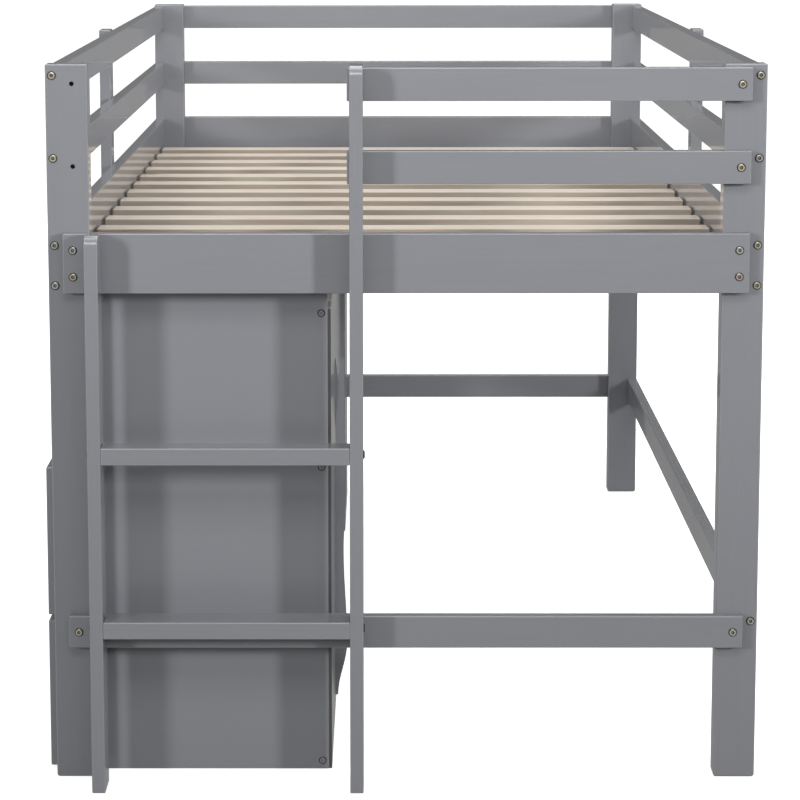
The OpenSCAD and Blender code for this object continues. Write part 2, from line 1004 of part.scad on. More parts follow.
module wheel(x, y) {
  bore = axle_d + 2 * axle_fit;
  half = wheel_w / 2;
  r = wheel_d / 2;
  color(dark) place()
    translate([x, y, r])
      rotate([90, 0, 0])
        rotate_extrude($fn = 64) polygon([
          [bore / 2, -half],
          [6, -half],
          [7, -half + 3],
          [r - 5, -half + 3],
          [r - 4, -half + 0.8],
          [r - 1, -half + 1.8],
          [r, -half + 4],
          [r, half - 4],
          [r - 1, half - 1.8],
          [r - 4, half - 0.8],
          [r - 5, half - 3],
          [7, half - 3],
          [6, half],
          [bore / 2, half]
        ]);
}

module wheel_near_left() {
  wheel(wheel_x[0], wheel_y[0]);
}

module wheel_near_right() {
  wheel(wheel_x[1], wheel_y[0]);
}

module wheel_far_left() {
  wheel(wheel_x[0], wheel_y[1]);
}

module wheel_far_right() {
  wheel(wheel_x[1], wheel_y[1]);
}

post_front_left();
post_front_right();
post_back_left();
post_back_right();
bed_rail_front();
bed_rail_back();
bed_rail_left();
bed_rail_right();
guard_front_upper();
guard_front_lower();
guard_back_upper();
guard_back_lower();
guard_left_upper();
guard_left_lower();
guard_right_upper();
guard_right_lower();
guard_supports();
stretcher_front();
stretcher_back();
stretcher_right();
slat_ledgers();
slats();
wood_screws();
rail_bolts();
corner_bolts();
frame_nuts();
stringer_left();
stringer_right();
tread_upper();
tread_lower();
ladder_bolts();
chest_end_near();
chest_end_far();
chest_top();
chest_shelf();
chest_bottom();
unit_backs();
chest_runners();
unit_screws();
bookcase_ends();
bookcase_shelves();
drawer_upper_front();
drawer_upper_box();
drawer_upper_slides();
drawer_upper_knob();
drawer_lower_front();
drawer_lower_box();
drawer_lower_slides();
drawer_lower_knob();
desk_end_near();
desk_end_far();
desk_top();
desk_back();
desk_shelf();
desk_screws();
caster_brackets();
wheel_near_left();
wheel_near_right();
wheel_far_left();
wheel_far_right();
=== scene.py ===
"""Loft bed with a drawer chest and a roll-out desk: its looks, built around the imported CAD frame.

Every board is remade here with eased edges and a grain direction of its own, every bolt and panel
screw is turned with a socket in its head, and the studio is a pale floor under soft boxes.  Lengths
are in metres.
"""

import json
import math
import random

import bmesh
import bpy
import numpy as np
from mathutils import Matrix, Vector


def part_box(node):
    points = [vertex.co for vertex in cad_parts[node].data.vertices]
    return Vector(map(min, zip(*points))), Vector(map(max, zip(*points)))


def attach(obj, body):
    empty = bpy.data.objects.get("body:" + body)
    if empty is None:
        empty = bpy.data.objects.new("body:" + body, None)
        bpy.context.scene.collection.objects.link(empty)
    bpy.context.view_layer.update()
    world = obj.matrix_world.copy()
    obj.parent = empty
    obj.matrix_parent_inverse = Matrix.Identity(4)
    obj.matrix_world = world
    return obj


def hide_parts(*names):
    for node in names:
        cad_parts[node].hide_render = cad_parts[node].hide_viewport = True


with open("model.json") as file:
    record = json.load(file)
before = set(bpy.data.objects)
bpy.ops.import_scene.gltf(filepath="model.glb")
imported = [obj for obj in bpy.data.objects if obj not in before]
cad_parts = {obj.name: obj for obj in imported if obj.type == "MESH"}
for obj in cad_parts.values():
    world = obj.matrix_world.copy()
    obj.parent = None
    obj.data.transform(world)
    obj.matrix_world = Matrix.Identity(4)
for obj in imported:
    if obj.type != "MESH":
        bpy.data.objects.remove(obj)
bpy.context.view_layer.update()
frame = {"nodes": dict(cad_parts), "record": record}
NODES = frame["nodes"]
BODY_OF = {n: b for b, members in frame["record"]["behaviour"]["bodies"].items() for n in members}
Y, Z = Vector((0, 1, 0)), Vector((0, 0, 1))
SHARP = math.radians(30)  # faces that meet at more than this have an edge between them


# ------------------------------------------------------------------ reading the frame
WELD = 1e-5  # points closer than this are one point


def islands(node):
    """The separate solids of a CAD node, each as an array of its points, in a steady order."""
    mesh = NODES[node].data
    co = np.zeros(len(mesh.vertices) * 3)
    mesh.vertices.foreach_get("co", co)
    co = co.reshape(-1, 3)
    keys = np.round(co / WELD).astype(np.int64)
    _, weld = np.unique(keys, axis=0, return_inverse=True)
    weld = weld.ravel()
    parent = list(range(int(weld.max()) + 1))

    def root(i):
        while parent[i] != i:
            parent[i] = parent[parent[i]]
            i = parent[i]
        return i

    for edge in mesh.edges:
        a, b = root(int(weld[edge.vertices[0]])), root(int(weld[edge.vertices[1]]))
        if a != b:
            parent[b] = a
    groups = {}
    for i, w in enumerate(weld):
        groups.setdefault(root(int(w)), []).append(i)
    solids = [co[g] for g in groups.values()]
    return sorted(solids, key=lambda s: tuple(np.round(s.mean(0), 4)))


def corners(points):
    """The lowest and the highest corner of a box round the points."""
    return Vector(points.min(0)), Vector(points.max(0))


# ------------------------------------------------------------------ node helpers
class Tree:
    """A material's nodes, made one call at a time."""

    def __init__(self, name):
        self.material = bpy.data.materials.new(name)
        self.material.use_nodes = True
        self.nodes = self.material.node_tree.nodes
        self.links = self.material.node_tree.links
        self.nodes.clear()
        self.shader = self.nodes.new("ShaderNodeBsdfPrincipled")
        output = self.nodes.new("ShaderNodeOutputMaterial")
        self.links.new(self.shader.outputs[0], output.inputs["Surface"])

    def put(self, socket, value):
        """Links an output to the socket, or sets the socket to a value."""
        if isinstance(value, bpy.types.NodeSocket):
            self.links.new(value, socket)
        else:
            socket.default_value = value

    def add(self, kind, inputs=None, **settings):
        node = self.nodes.new("ShaderNode" + kind)
        for key, value in settings.items():
            setattr(node, key, value)
        for key, value in (inputs or {}).items():
            self.put(node.inputs[key], value)
        return node

    def attribute(self, name, output="Fac"):
        return self.add("Attribute", attribute_name=name).outputs[output]

    def grain(self, scale):
        """The board's own coordinates, x along the grain, scaled."""
        source = self.attribute("grain", "Vector")
        return self.add("Mapping", {"Vector": source, "Scale": scale}).outputs[0]

    def space(self, scale):
        """The object's coordinates, scaled."""
        source = self.add("TexCoord").outputs["Object"]
        return self.add("Mapping", {"Vector": source, "Scale": scale}).outputs[0]

    def noise(self, vector, scale=1.0, detail=2.0, rough=0.5, distort=0.0):
        ins = {"Vector": vector, "Scale": scale, "Detail": detail, "Roughness": rough}
        ins["Distortion"] = distort
        return self.add("TexNoise", ins).outputs["Fac"]

    def math(self, operation, a, b=0.0, clamp=False):
        node = self.add("Math", operation=operation, use_clamp=clamp)
        self.put(node.inputs[0], a)
        self.put(node.inputs[1], b)
        return node.outputs[0]

    def span(self, value, low, high, to_low=0.0, to_high=1.0):
        """The value's range from low to high, mapped and held to another range."""
        ins = {"Value": value, "From Min": low, "From Max": high, "To Min": to_low}
        ins["To Max"] = to_high
        return self.add("MapRange", ins).outputs[0]

    def mix(self, factor, a, b, blend="MIX"):
        node = self.add("Mix", data_type="RGBA", blend_type=blend)
        self.put(node.inputs[0], factor)
        self.put(node.inputs[6], a)
        self.put(node.inputs[7], b)
        return node.outputs[2]

    def bump(self, height, strength, distance):
        ins = {"Height": height, "Strength": strength, "Distance": distance}
        return self.add("Bump", ins).outputs[0]

    def shade(self, **sockets):
        """Sets the shader's sockets, whose names are written with _ for a space."""
        for key, value in sockets.items():
            self.put(self.shader.inputs[key.replace("_", " ")], value)
        return self.material


def tone(rgb, factor=1.0):
    """A colour made lighter or darker, as a socket takes it."""
    return (rgb[0] * factor, rgb[1] * factor, rgb[2] * factor, 1.0)


# ------------------------------------------------------------------ materials
PAINT = (0.262, 0.268, 0.288)
PAINT_OTHER = (0.245, 0.256, 0.276)  # the other end of the boards' range of greys
CLEAR_COAT = {"Specular_IOR_Level": 0.5, "Coat_Weight": 0.8, "Coat_Roughness": 0.07}
# near-black colour for the back boards' narrow sides: their bare edge, darkened as a painted shadow
# gap
BARE_EDGE_SHADE_COLOUR = (0.05, 0.045, 0.04, 1)
# near-black painted shade for the rims and sockets of bolts and screws
RECESS_SHADE_COLOUR = (0.03, 0.028, 0.025, 1)
PINK_ZINC = (0.72, 0.54, 0.52, 1)


def painted_wood():
    """Glossy grey paint over pine: fibres show faintly through it, the edges are rubbed and
    lighter, partly as a painted highlight, and drilled holes get painted shade.
    """
    t = Tree("grey_painted_pine")
    fibre = t.noise(t.grain((9, 620, 620)), detail=3.0, rough=0.6)
    figure = t.noise(t.grain((1.6, 30, 30)), detail=2.0, distort=0.7)
    rings = t.math("SINE", t.math("MULTIPLY", figure, 46.0))
    broad = t.noise(t.grain((2.2, 7, 7)), detail=2.0)
    peel = t.noise(t.space((1, 1, 1)), scale=420.0, detail=1.0)
    colour = t.mix(broad, tone(PAINT, 0.955), tone(PAINT, 1.04))
    colour = t.mix(t.span(t.attribute("board"), 0, 1, 0, 0.5), colour, tone(PAINT_OTHER))
    colour = t.mix(t.span(fibre, 0.35, 0.75, 0.0, 0.07), colour, tone(PAINT, 0.55))
    colour = t.mix(t.span(rings, 0.2, 1.0, 0.0, 0.05), colour, tone(PAINT, 0.7))
    # the edges made lighter in spots: rubbed paint, and partly a painted highlight
    rub_and_highlight = t.math("MULTIPLY", t.attribute("edge"), t.span(broad, 0.3, 0.7, 0.25, 0.8))
    colour = t.mix(t.math("MULTIPLY", rub_and_highlight, 0.55), colour, tone(PAINT, 1.5))
    end = t.attribute("end")
    colour = t.mix(t.math("MULTIPLY", end, 0.3), colour, tone(PAINT, 0.6))
    # painted shade darkens the walls of drilled holes
    colour = t.mix(t.math("MULTIPLY", t.attribute("recess_shade"), 0.9), colour, tone(PAINT, 0.06))
    rough = t.span(broad, 0.25, 0.75, 0.17, 0.24)
    rough = t.math("ADD", rough, t.math("MULTIPLY", end, 0.2))
    height = t.math("ADD", t.math("MULTIPLY", fibre, 0.6), t.math("MULTIPLY", rings, 0.12))
    height = t.math("ADD", height, t.math("MULTIPLY", peel, 0.25))
    return t.shade(
        Base_Color=colour,
        Roughness=rough,
        Normal=t.bump(height, 0.14, 0.0005),
        **CLEAR_COAT,
    )


def painted_board(name, raw=0.0):
    """The same paint sprayed on smooth board, with an orange-peel skin and no grain; its edges are
    rubbed and lighter, partly as a painted highlight.

    The second argument is how far the long narrow sides are bare and darkened near to black as a
    painted shadow gap."""
    t = Tree(name)
    cloud = t.noise(t.space((3, 3, 3)), detail=3.0)
    peel = t.noise(t.space((1, 1, 1)), scale=340.0, detail=2.0)
    specks = t.noise(t.space((1, 1, 1)), scale=1500.0, detail=1.0)
    colour = t.mix(cloud, tone(PAINT, 0.95), tone(PAINT, 1.02))
    colour = t.mix(t.span(specks, 0.64, 0.74, 0.0, 0.10), colour, tone(PAINT, 0.6))
    # the edges made lighter in spots: rubbed paint, and partly a painted highlight
    rub_and_highlight = t.math("MULTIPLY", t.attribute("edge"), t.span(cloud, 0.3, 0.7, 0.2, 0.8))
    colour = t.mix(t.math("MULTIPLY", rub_and_highlight, 0.5), colour, tone(PAINT, 1.45))
    # the long narrow sides darkened near to black: a bare edge and a painted shadow gap
    if raw:
        colour = t.mix(t.math("MULTIPLY", t.attribute("sawn"), raw), colour, BARE_EDGE_SHADE_COLOUR)
    return t.shade(
        Base_Color=colour,
        Roughness=t.span(cloud, 0.25, 0.75, 0.18, 0.24),
        Normal=t.bump(peel, 0.12, 0.0005),
        **CLEAR_COAT,
    )


def bare_pine():
    """Planed pine: growth rings, fine fibres, a few knots, a tone for each board, and painted shade
    on the long narrow sides.
    """
    t = Tree("bare_pine")
    warp = t.noise(t.grain((1.4, 16, 16)), detail=2.0, distort=0.4)
    across = t.add("SeparateXYZ", {"Vector": t.grain((1, 1, 1))}).outputs[1]
    phase = t.math("ADD", t.math("MULTIPLY", across, 420.0), t.math("MULTIPLY", warp, 26.0))
    rings = t.span(t.math("SINE", phase), -1.0, 1.0)
    fibre = t.noise(t.grain((14, 900, 900)), detail=3.0, rough=0.65)
    cloud = t.noise(t.grain((3, 14, 14)), detail=2.0)
    cells = t.add("TexVoronoi", {"Vector": t.grain((3.1, 14, 14)), "Scale": 1.0})
    pick = t.add("SeparateColor", {"Color": cells.outputs["Color"]}).outputs[0]
    spot = t.span(cells.outputs["Distance"], 0.09, 0.05)
    knot = t.math("MULTIPLY", spot, t.span(pick, 0.80, 0.82), clamp=True)
    board = t.attribute("board")
    early, late, warm = (0.66, 0.60, 0.525, 1), (0.50, 0.405, 0.32, 1), (0.56, 0.45, 0.37, 1)
    pale, rubbed = (0.66, 0.60, 0.53, 1), (0.66, 0.59, 0.51, 1)
    dark_fibre, knot_brown = (0.41, 0.32, 0.24, 1), (0.22, 0.12, 0.06, 1)
    # the second colour here darkens the slats' narrow sides as painted shade
    end_grain, side_shade_tint = (0.45, 0.33, 0.22, 1), (0.64, 0.62, 0.59, 1)
    colour = t.mix(t.span(rings, 0.35, 1.0, 0.0, 0.55), early, late)
    colour = t.mix(t.span(fibre, 0.4, 0.75, 0.0, 0.30), colour, dark_fibre)
    colour = t.mix(t.span(board, 0, 1, 0.0, 0.35), colour, warm)
    colour = t.mix(t.span(cloud, 0.35, 0.7, 0.0, 0.2), colour, pale)
    colour = t.mix(knot, colour, knot_brown)
    end = t.attribute("end")
    colour = t.mix(t.math("MULTIPLY", end, 0.55), colour, end_grain)
    colour = t.mix(t.math("MULTIPLY", t.attribute("edge"), 0.25), colour, rubbed)
    # the long narrow sides darkened: painted shade
    side_shade = t.math("MULTIPLY", t.attribute("sawn"), t.span(cloud, 0.3, 0.7, 0.85, 1.0))
    colour = t.mix(side_shade, colour, t.mix(0.85, colour, side_shade_tint, "MULTIPLY"))
    height = t.math("ADD", t.math("MULTIPLY", fibre, 0.7), t.math("MULTIPLY", rings, 0.3))
    return t.shade(
        Base_Color=colour,
        Roughness=t.span(fibre, 0.3, 0.7, 0.50, 0.66),
        Specular_IOR_Level=0.35,
        Normal=t.bump(height, 0.3, 0.0007),
    )


def plated(name, light, dark, rough):
    """A plated or turned metal with rubbed highlights, a stain and painted shade in the recesses.
    """
    t = Tree(name)
    stain = t.noise(t.space((90, 90, 90)), detail=3.0)
    turn = t.noise(t.space((1, 1, 1)), scale=1800.0, detail=1.0)
    own = t.attribute("board")
    colour = t.mix(t.span(own, 0.25, 0.6), tone(light), tone(dark))
    colour = t.mix(t.span(own, 0.75, 0.9, 0.0, 0.8), colour, PINK_ZINC)
    colour = t.mix(t.span(stain, 0.4, 0.7, 0.0, 0.5), colour, tone(dark, 0.75))
    # painted shade darkens the head's rim and socket
    colour = t.mix(t.math("MULTIPLY", t.attribute("recess_shade"), 0.95), colour, RECESS_SHADE_COLOUR)
    return t.shade(
        Base_Color=colour,
        Metallic=0.6,
        Roughness=t.span(stain, 0.3, 0.7, rough, rough + 0.16),
        Normal=t.bump(turn, 0.15, 0.0002),
    )


def drawn_steel():
    """Zinc-plated strip: fine lines along X and a dull bloom."""
    t = Tree("drawn_steel")
    lines = t.noise(t.space((4, 1400, 1400)), detail=2.0)
    bloom = t.noise(t.space((22, 22, 22)), detail=3.0)
    colour = t.mix(bloom, (0.50, 0.51, 0.53, 1), (0.66, 0.67, 0.69, 1))
    return t.shade(
        Base_Color=colour,
        Metallic=1.0,
        Roughness=t.span(lines, 0.3, 0.7, 0.26, 0.44),
        Normal=t.bump(lines, 0.2, 0.0003),
    )


def caster_rubber():
    """Dark moulded tyre, matt with a dusty bloom."""
    t = Tree("caster_rubber")
    dust = t.noise(t.space((60, 60, 60)), detail=4.0)
    grit = t.noise(t.space((1, 1, 1)), scale=2600.0, detail=2.0)
    rubber, dusty = (0.022, 0.022, 0.024, 1), (0.10, 0.098, 0.095, 1)
    colour = t.mix(t.span(dust, 0.4, 0.75, 0.0, 0.4), rubber, dusty)
    return t.shade(
        Base_Color=colour,
        Roughness=t.span(dust, 0.3, 0.7, 0.48, 0.72),
        Normal=t.bump(grit, 0.3, 0.0003),
    )


WOOD = painted_wood()
BOARD = painted_board("grey_painted_board")
BACK = painted_board("grey_painted_back", 0.9)
PINE = bare_pine()
ZINC = plated("yellow_zinc", (0.78, 0.72, 0.52), (0.74, 0.73, 0.70), 0.16)
NICKEL = plated("nickel_plate", (0.86, 0.85, 0.83), (0.70, 0.68, 0.65), 0.28)
STEEL = drawn_steel()
RUBBER = caster_rubber()


# ------------------------------------------------------------------ mesh helpers
def own_layers(bm):
    """Makes the layers that the materials read, and returns those of the points."""
    points, faces = bm.verts.layers.float, bm.faces.layers.float
    for key in ("edge", "sawn"):
        if not faces.get(key):
            faces.new(key)
    return {key: points.get(key) or points.new(key) for key in ("end", "board", "recess_shade")}


def grain_frame(lo, hi, along=None):
    """A board's axes: along its grain, across it and through it.

    The grain runs along the longest side unless an axis is given."""
    size = hi - lo
    order = sorted(range(3), key=lambda i: -size[i])
    if along is not None:
        order = [along] + [i for i in order if i != along]
    return order


def finish_mesh(obj, material, body, angle=35.0):
    """Smooth shading with flat faces kept flat, the material and the body."""
    mesh = obj.data
    mesh.shade_smooth()
    mesh.set_sharp_from_angle(angle=math.radians(angle))
    mesh.materials.clear()
    mesh.materials.append(material)
    weighted = obj.modifiers.new("flat_faces", "WEIGHTED_NORMAL")
    weighted.keep_sharp = True
    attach(obj, body)
    return obj


def new_object(name, mesh):
    """An object in the scene with this mesh."""
    obj = bpy.data.objects.new(name, mesh)
    bpy.context.scene.collection.objects.link(obj)
    return obj


def write_grain(mesh, boards):
    """The grain attribute: boards is a list of (vertex range, axes, origin, shift)."""
    co = np.zeros(len(mesh.vertices) * 3)
    mesh.vertices.foreach_get("co", co)
    co = co.reshape(-1, 3)
    out = np.zeros_like(co)
    for (first, last), axes, origin, shift in boards:
        local = co[first:last] - np.array(origin)
        out[first:last] = local[:, axes] + np.array(shift)
    layer = mesh.attributes.new("grain", "FLOAT_VECTOR", "POINT")
    layer.data.foreach_set("vector", out.ravel())


def bevelled(bm, radius):
    """Rounds every sharp edge and marks the rounding's faces in the edge layer."""
    own_layers(bm)
    edge = bm.faces.layers.float["edge"]
    made = bmesh.ops.bevel(
        bm,
        geom=[e for e in bm.edges if e.calc_face_angle(0.0) > SHARP],
        offset=radius,
        segments=3,
        profile=0.5,
        affect="EDGES",
        clamp_overlap=True,
    )
    for f in made["faces"]:
        f[edge] = 1.0


def box_board(bm, lo, hi, radius, soft_bottom=None):
    """A board with eased edges, its two long narrow sides marked as sawn.

    soft_bottom is a larger easing for its lowest edges."""
    size = hi - lo
    bm2 = bmesh.new()
    own_layers(bm2)
    matrix = Matrix.Translation((lo + hi) / 2) @ Matrix.Diagonal((*size, 1.0))
    bmesh.ops.create_cube(bm2, size=1.0, matrix=matrix)
    if soft_bottom:
        low = [e for e in bm2.edges if all(abs(v.co.z - lo.z) < WELD for v in e.verts)]
        bmesh.ops.bevel(bm2, geom=low, offset=soft_bottom, segments=1, affect="EDGES")
    bevelled(bm2, radius)
    sawn = bm2.faces.layers.float["sawn"]
    wide = sorted(range(3), key=lambda i: -size[i])[1]
    for f in bm2.faces:
        f[sawn] = 1.0 if abs(f.normal[wide]) > 0.8 else 0.0
    return merge_into(bm, bm2)


def merge_into(bm, bm2):
    """Adds bm2's geometry to bm and returns the vertex range it takes."""
    scratch = bpy.data.meshes.new("scratch")
    bm2.to_mesh(scratch)
    bm2.free()
    first = len(bm.verts)
    bm.from_mesh(scratch)
    bm.verts.ensure_lookup_table()
    bpy.data.meshes.remove(scratch)
    return first, len(bm.verts)


def mark_board(bm, span, value):
    """Sets the board layer, which gives each board a tone of its own."""
    layer = own_layers(bm)["board"]
    bm.verts.ensure_lookup_table()
    for i in range(*span):
        bm.verts[i][layer] = value


AT_END = 1e-4  # points this close to a board's end are on it


def mark_ends(bm, span, lo, hi, along):
    """Sets the end layer on the two faces that cut across the grain."""
    layer = own_layers(bm)["end"]
    bm.verts.ensure_lookup_table()
    for i in range(*span):
        v = bm.verts[i]
        near = min(abs(v.co[along] - lo[along]), abs(v.co[along] - hi[along]))
        v[layer] = 1.0 if near < AT_END else 0.0


def far_away(rng):
    """A shift that gives a board a part of the grain's pattern to itself."""
    return [rng.uniform(-5, 5) for _ in range(3)]


def board_piece(name, node, material, radius, foot=None, boxes=None, holes=()):
    """One piece for a CAD node of plain boards, each with its own grain and tone.

    foot is a larger easing at the bottom, boxes takes the place of the node's own solids, and
    holes are drilled."""
    rng = random.Random(name)
    bm = bmesh.new()
    own_layers(bm)
    boards = []
    for lo, hi in boxes or [corners(points) for points in islands(node)]:
        axes = grain_frame(lo, hi)
        span = box_board(bm, lo, hi, radius, foot)
        mark_board(bm, span, rng.random())
        mark_ends(bm, span, lo, hi, axes[0])
        boards.append((span, axes, lo, far_away(rng)))
    mesh = bpy.data.meshes.new(name)
    bm.to_mesh(mesh)
    bm.free()
    write_grain(mesh, boards)
    obj = new_object(name, mesh)
    if holes:
        drill(obj, holes)
    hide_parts(node)
    return finish_mesh(obj, material, BODY_OF[node])


def drill(obj, holes):
    """Cuts round holes, each given as (centre, axis, radius, length)."""
    bm = bmesh.new()
    layers = own_layers(bm)
    for centre, axis, radius, length in holes:
        turn = Z.rotation_difference(axis).to_matrix().to_4x4()
        bmesh.ops.create_cone(
            bm,
            cap_ends=True,
            segments=32,
            radius1=radius,
            radius2=radius,
            depth=length,
            matrix=Matrix.Translation(centre) @ turn,
        )
    # the hole walls take painted shade
    for v in bm.verts:
        v[layers["recess_shade"]] = 1.0
    mesh = bpy.data.meshes.new("drill")
    bm.to_mesh(mesh)
    bm.free()
    tool = new_object("drill", mesh)
    cut = obj.modifiers.new("holes", "BOOLEAN")
    cut.operation, cut.solver, cut.object = "DIFFERENCE", "EXACT", tool
    depsgraph = bpy.context.evaluated_depsgraph_get()
    done = bpy.data.meshes.new_from_object(
        obj.evaluated_get(depsgraph), preserve_all_data_layers=True, depsgraph=depsgraph
    )
    obj.modifiers.clear()
    obj.data = done
    bpy.data.objects.remove(tool)


TURNED = 36  # points round a turned shape


def lathe(bm, at, axis, profile, turn, hexes):
    """A turned shape along axis from at: profile is a list of (radius, height, shade), shade being
    how much painted shade the ring gets.

    The rings whose numbers are in hexes are six-sided, radius being half the width over flats."""
    layer = own_layers(bm)["recess_shade"]
    basis = Z.rotation_difference(axis).to_matrix()
    rings = []
    for i, (radius, height, recess_shade) in enumerate(profile):
        if radius <= 0.0:
            ring = [bm.verts.new(at + axis * height)]
        else:
            ring = []
            for k in range(TURNED):
                a = 2 * math.pi * k / TURNED
                reach = radius
                if i in hexes:
                    reach = radius / math.cos(a % (math.pi / 3) - math.pi / 6)
                side = Vector((math.cos(a + turn), math.sin(a + turn), 0.0)) * reach
                ring.append(bm.verts.new(at + basis @ side + axis * height))
        for v in ring:
            v[layer] = recess_shade
        rings.append(ring)
    for low, high in zip(rings, rings[1:]):
        for k in range(TURNED):
            n = (k + 1) % TURNED
            if len(low) == 1:
                bm.faces.new((low[0], high[n], high[k]))
            elif len(high) == 1:
                bm.faces.new((low[k], low[n], high[0]))
            else:
                bm.faces.new((low[k], low[n], high[n], high[k]))


# each profile gives the head's height above its seat, its six-sided rings and its rings, each ring
# with the painted shade it gets
def bolt_profile(radius, length):
    """A domed head 2.5 mm high with a hexagonal socket, its rim and socket darkened as painted
    shade; its shank goes down.
    """
    thick, shank = 0.0025, 0.0031
    return thick, (11, 12), [
        (0.0, thick - length, 0),
        (shank, thick - length, 0),
        (shank, 0.0, 0),
        (radius, 0.0, 1.0),
        (radius, 0.2 * thick, 1.0),
        (0.96 * radius, 0.42 * thick, 1.0),
        (0.90 * radius, 0.6 * thick, 1.0),
        (0.80 * radius, 0.78 * thick, 0.75),
        (0.68 * radius, 0.93 * thick, 0.1),
        (0.52 * radius, thick, 0.0),
        (0.44 * radius, thick, 0.15),
        (0.0023, 0.94 * thick, 0.9),
        (0.0022, 0.3 * thick, 1.0),
        (0.0, 0.2 * thick, 0.3),
    ]


def screw_profile(radius, length):
    """A countersunk head just proud of the board, with a hexagonal socket, its rim and socket
    darkened as painted shade.
    """
    shank = 0.0019
    return 0.0, (9, 10), [
        (0.0, -length, 0),
        (0.5 * shank, 0.004 - length, 0),
        (shank, 0.009 - length, 0),
        (shank, -0.0022, 0),
        (1.06 * radius, -0.0002, 1.0),
        (1.06 * radius, 0.0003, 1.0),
        (0.90 * radius, 0.0010, 1.0),
        (0.74 * radius, 0.0014, 0.9),
        (0.64 * radius, 0.0015, 0.0),
        (0.0024, 0.0013, 0.9),
        (0.0023, -0.0012, 1.0),
        (0.0, -0.0012, 1.0),
    ]


def fastener_piece(name, node, material, shape):
    """Turned fasteners in place of a CAD node's, each with a turn and a tone of its own."""
    rng = random.Random(name)
    bm = bmesh.new()
    own_layers(bm)
    for points in islands(node):
        lo, hi = corners(points)
        along = max(range(3), key=lambda i: hi[i] - lo[i])
        side = (along + 1) % 3
        middle = (lo + hi) / 2
        reach = np.abs(points[:, side] - middle[side])
        head = points[reach > 0.9 * reach.max()]  # only a head reaches out this far
        up = head[:, along].mean() > middle[along]
        axis = Vector([float(i == along) * (1 if up else -1) for i in range(3)])
        above, hexes, profile = shape((hi[side] - lo[side]) / 2, hi[along] - lo[along])
        seat = Vector(middle)
        seat[along] = (hi[along] if up else lo[along]) - axis[along] * above
        first = len(bm.verts)
        lathe(bm, seat, axis, profile, rng.uniform(0, 1), hexes)
        mark_board(bm, (first, len(bm.verts)), rng.random())
    mesh = bpy.data.meshes.new(name)
    bm.to_mesh(mesh)
    bm.free()
    obj = new_object(name, mesh)
    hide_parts(node)
    return finish_mesh(obj, material, BODY_OF[node], 40.0)


def outline_piece(name, node, outline, axis, radius, material, grain=None):
    """Boards cut to outline(lo, hi) in the plane across axis, as thick as the node's solids.

    grain is the axis that the grain runs along, or None for a board's longest side."""
    rng = random.Random(name)
    bm = bmesh.new()
    own_layers(bm)
    others = [i for i in range(3) if i != axis]
    boards = []
    for points in islands(node):
        lo, hi = corners(points)
        bm2 = bmesh.new()
        own_layers(bm2)
        verts = []
        for p in outline(lo, hi):
            co = [0.0, 0.0, 0.0]
            co[others[0]], co[others[1]], co[axis] = p[0], p[1], lo[axis]
            verts.append(bm2.verts.new(co))
        made = bmesh.ops.extrude_face_region(bm2, geom=[bm2.faces.new(verts)])
        step = Vector((0, 0, 0))
        step[axis] = hi[axis] - lo[axis]
        moved = [g for g in made["geom"] if isinstance(g, bmesh.types.BMVert)]
        bmesh.ops.translate(bm2, verts=moved, vec=step)
        bmesh.ops.recalc_face_normals(bm2, faces=bm2.faces[:])
        bevelled(bm2, radius)
        span = merge_into(bm, bm2)
        mark_board(bm, span, rng.random())
        boards.append((span, grain_frame(lo, hi, grain), lo, far_away(rng)))
    mesh = bpy.data.meshes.new(name)
    bm.to_mesh(mesh)
    bm.free()
    write_grain(mesh, boards)
    obj = new_object(name, mesh)
    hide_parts(node)
    return finish_mesh(obj, material, BODY_OF[node])


# ------------------------------------------------------------------ the bed's boards
# how far the edges of each kind of board are rounded
EASE_POST = 0.0018
EASE_FOOT = 0.0028
EASE_WOOD = 0.0016
EASE_FRONT = 0.0018
EASE_DESK = 0.0016
EASE_PANEL = 0.0009
EASE_BOX = 0.0008
EASE_BACK = 0.0005

# two spare holes at the top of the front left post, drilled from its front
SPARE_X = -0.485
SPARE_HEIGHTS = (0.9335, 1.0555)
SPARE_RADIUS = 0.0035
SPARE_CENTRE, SPARE_LENGTH = 0.012, 0.03


def spare_holes(node):
    """The holes as drill takes them."""
    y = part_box(node)[0][1] + SPARE_CENTRE
    return [(Vector((SPARE_X, y, z)), Y, SPARE_RADIUS, SPARE_LENGTH) for z in SPARE_HEIGHTS]


for node in NODES:
    if node.startswith("post_"):
        spare = spare_holes(node) if node == "post_front_left" else ()
        name = node + "_board"
        board_piece(name, node, WOOD, EASE_POST, foot=EASE_FOOT, holes=spare)
    elif node.startswith(("bed_rail_", "guard_", "stretcher_", "tread_")) or node == "slat_ledgers":
        board_piece(node + "_board", node, WOOD, EASE_WOOD)
    elif node in ("chest_top", "chest_shelf", "chest_bottom", "bookcase_shelves"):
        board_piece(node + "_board", node, BOARD, EASE_PANEL)
    elif node in ("drawer_upper_front", "drawer_lower_front"):
        board_piece(node + "_board", node, BOARD, EASE_FRONT)
    elif node in ("desk_top", "desk_back", "desk_shelf"):
        board_piece(node + "_board", node, BOARD, EASE_DESK)
board_piece("unit_backs_board", "unit_backs", BACK, EASE_BACK)
board_piece("slats_board", "slats", PINE, EASE_WOOD)

# each stringer has a rounded front corner at its top
ROUND = 0.016
ROUND_STEPS = 12


def stringer_outline(lo, hi):
    """Its side view, in Y and Z."""
    points = [(lo[1], lo[2]), (hi[1], lo[2]), (hi[1], hi[2])]
    for step in range(ROUND_STEPS + 1):
        a = math.pi / 2 * (1 + step / ROUND_STEPS)
        points.append((lo[1] + ROUND * (1 + math.cos(a)), hi[2] - ROUND * (1 - math.sin(a))))
    return points


# the end panels of the units step down to clear the side rail
STEP_ACROSS, STEP_DOWN = 0.040, 0.024


